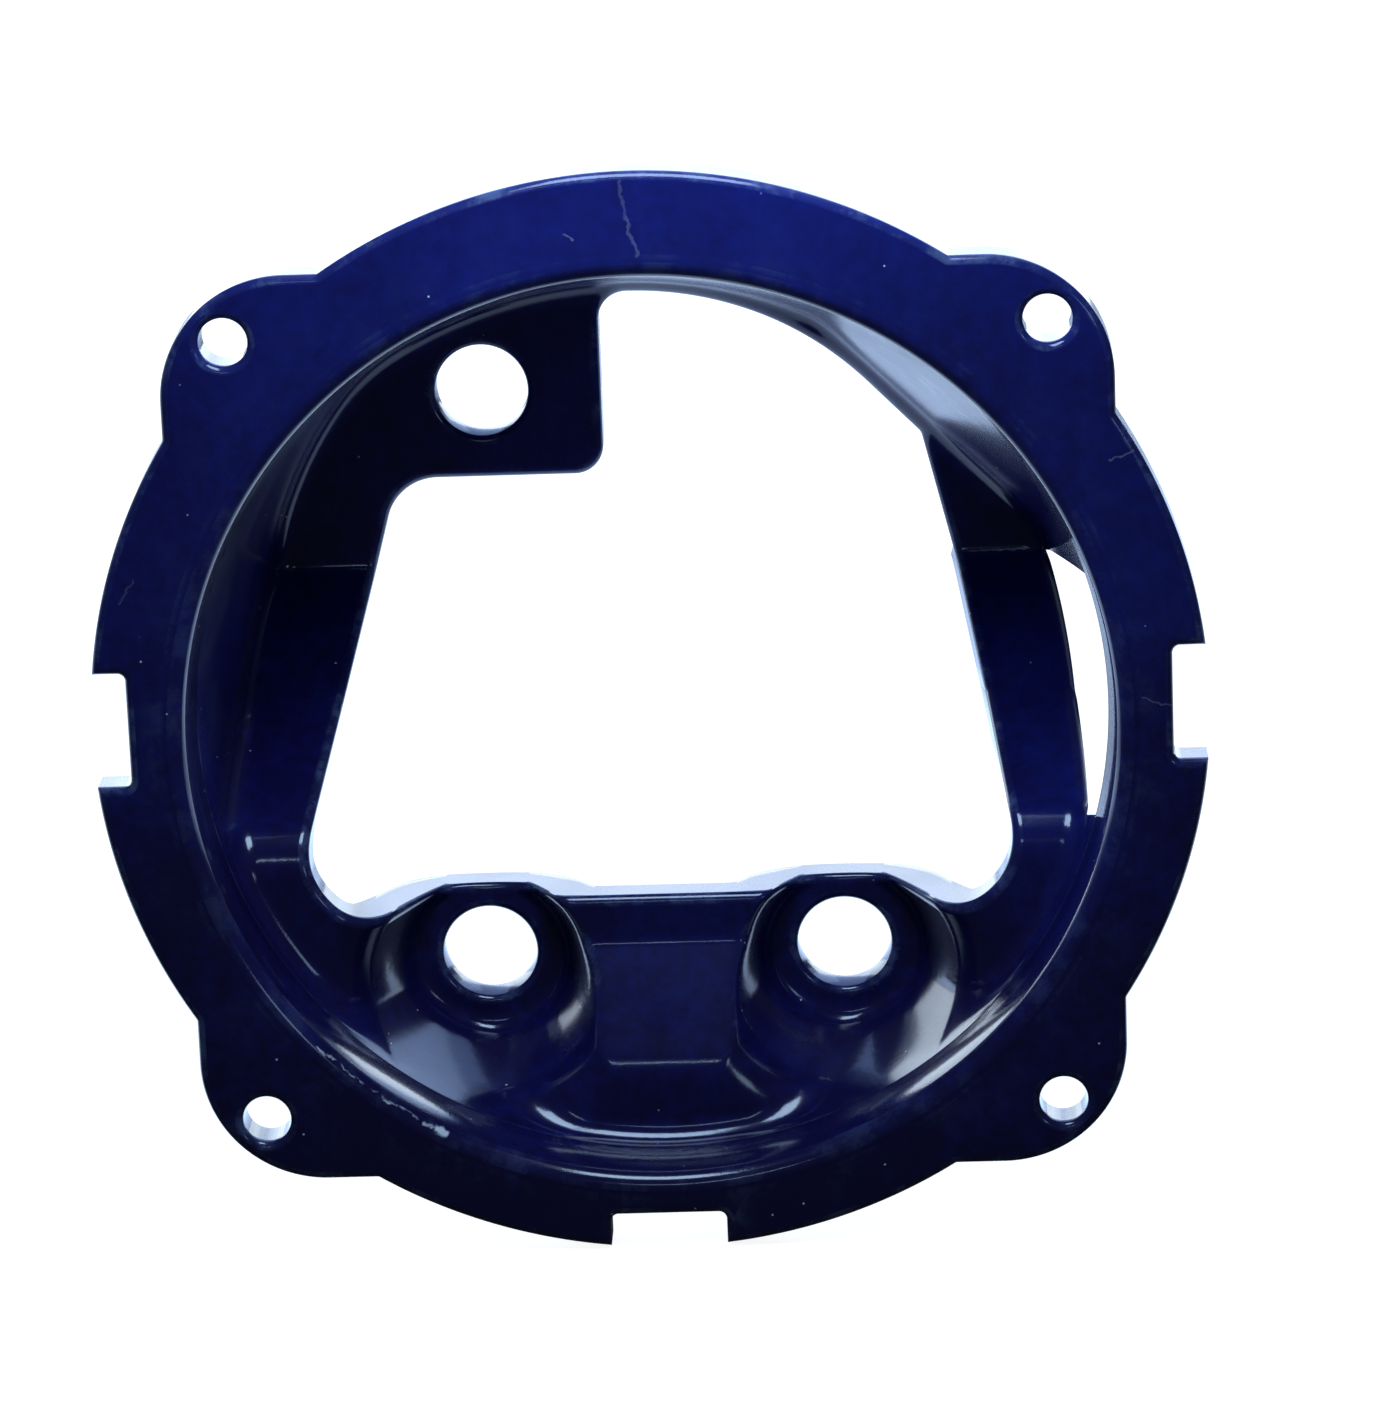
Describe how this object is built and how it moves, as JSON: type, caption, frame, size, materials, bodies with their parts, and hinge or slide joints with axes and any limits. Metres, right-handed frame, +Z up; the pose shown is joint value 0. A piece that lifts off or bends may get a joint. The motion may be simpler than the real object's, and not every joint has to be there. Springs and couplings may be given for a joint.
{
  "type": "dished mounting flange",
  "caption": "Round eared flange ring with a deep dished cup behind it: a stepped floor with bolt pads, a head tab, sloping arms and a large open window.",
  "frame": {"origin": "centre of the four ear holes, on the ring's front (mating) face", "axes": "-Y out of the ring's front face, +Z up to the head tab's side, +X to the window's side"},
  "size_m": [0.1592, 0.067, 0.1595],
  "materials": {
    "enamel": "gloss dark navy enamel on pressed steel"
  },
  "bodies": {
    "root": {"flange_ring": "enamel", "throat_collar": "enamel", "upper_left_wall": "enamel", "upper_right_wall": "enamel", "left_wall": "enamel", "right_wall": "enamel", "lower_wall": "enamel", "mounting_tab": "enamel", "right_shoulder": "enamel", "left_arm": "enamel", "right_arm": "enamel", "left_ledge": "enamel", "right_ledge": "enamel", "left_pad": "enamel", "right_pad": "enamel", "centre_web": "enamel"}
  },
  "joints": []
}
